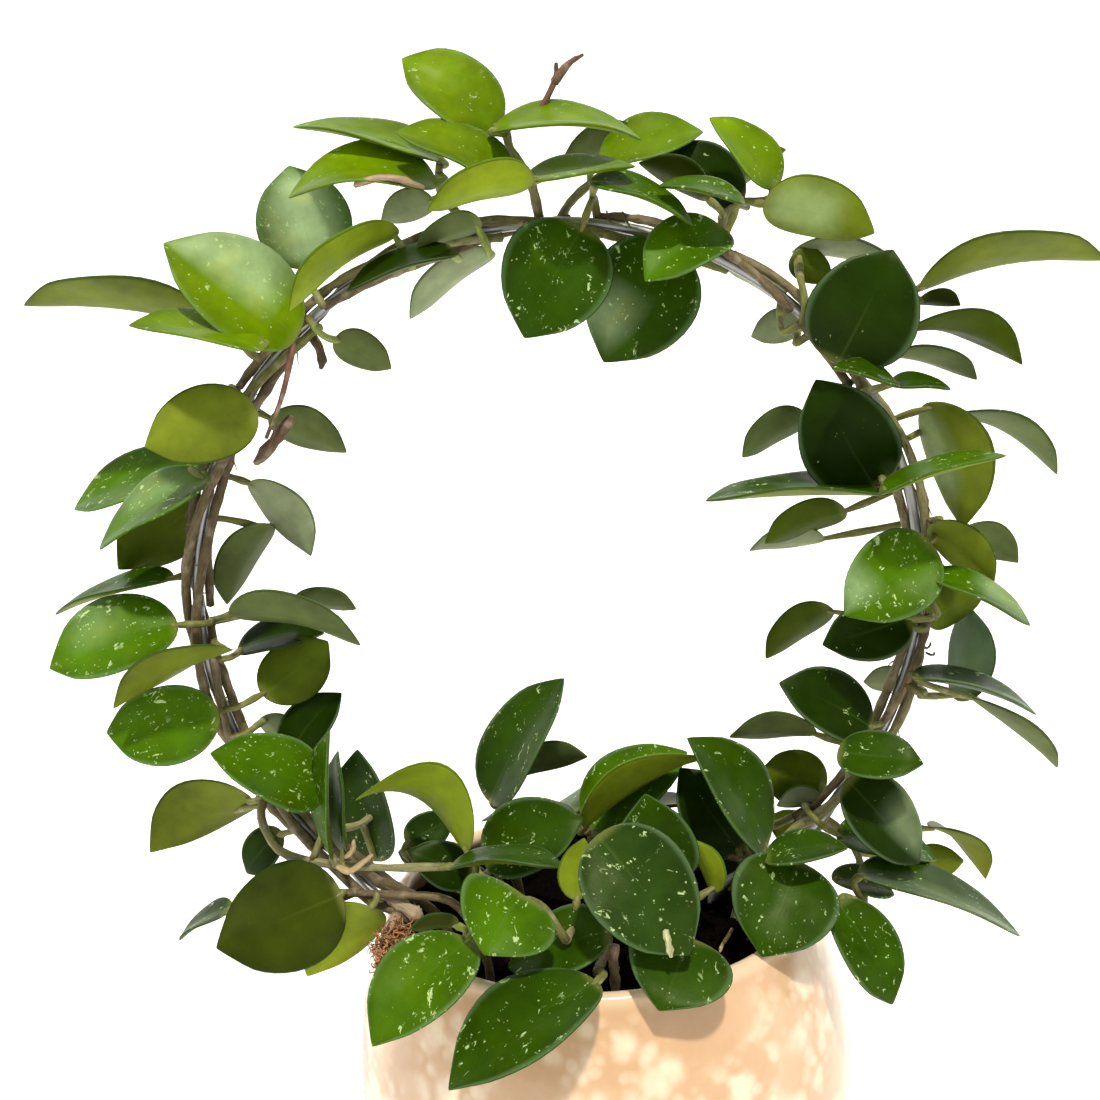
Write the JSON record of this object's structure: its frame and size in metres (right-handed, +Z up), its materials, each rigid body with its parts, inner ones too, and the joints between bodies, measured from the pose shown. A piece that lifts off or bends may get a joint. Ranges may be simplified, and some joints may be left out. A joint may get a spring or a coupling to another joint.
{
  "type": "potted hoya on a wire hoop",
  "caption": "Trailing plant with thick silver-flecked oval leaves, wound round an upright wire hoop in a round glazed pot.",
  "frame": {"origin": "middle of the pot's flat foot, on the surface that it stands on", "axes": "+Z up, -Y towards the front of the plant, with the wire hoop in the XZ plane"},
  "size_m": [0.3047, 0.1792, 0.358],
  "materials": {
    "glazed_pot": "glossy peach glaze with cream spots",
    "potting_soil": "loose peaty potting mix",
    "galvanised_wire": "dull galvanised",
    "vine_bark": "matte bark",
    "leaf": "waxy leaf with silver flecks",
    "young_leaf": "waxy young leaf with silver flecks",
    "dead_stem": "dry",
    "dry_roots": "dry fibres"
  },
  "bodies": {
    "root": {"pot": "glazed_pot", "soil": "potting_soil", "hoop_wire": "galvanised_wire", "vine_left_1": "vine_bark", "vine_left_2": "vine_bark", "vine_left_3": "vine_bark", "vine_right_1": "vine_bark", "vine_right_3": "vine_bark", "shoot_crown": "young_leaf", "shoot_top_left": "young_leaf", "shoot_top_front": "leaf", "shoot_top_right": "leaf", "shoot_left_shoulder": "young_leaf", "shoot_left_upper": "leaf", "shoot_left_mid": "leaf", "shoot_left_low": "leaf", "shoot_left_foot": "leaf", "shoot_pot_left": "leaf", "shoot_left_lip": "young_leaf", "shoot_bottom_left": "leaf", "shoot_pot_front": "leaf", "shoot_pot_back": "leaf", "shoot_bottom_right": "leaf", "shoot_right_foot": "leaf", "shoot_right_low": "leaf", "shoot_right_mid": "leaf", "shoot_right_shoulder": "leaf", "dead_stub": "dead_stem", "root_tuft": "dry_roots"}
  },
  "joints": []
}
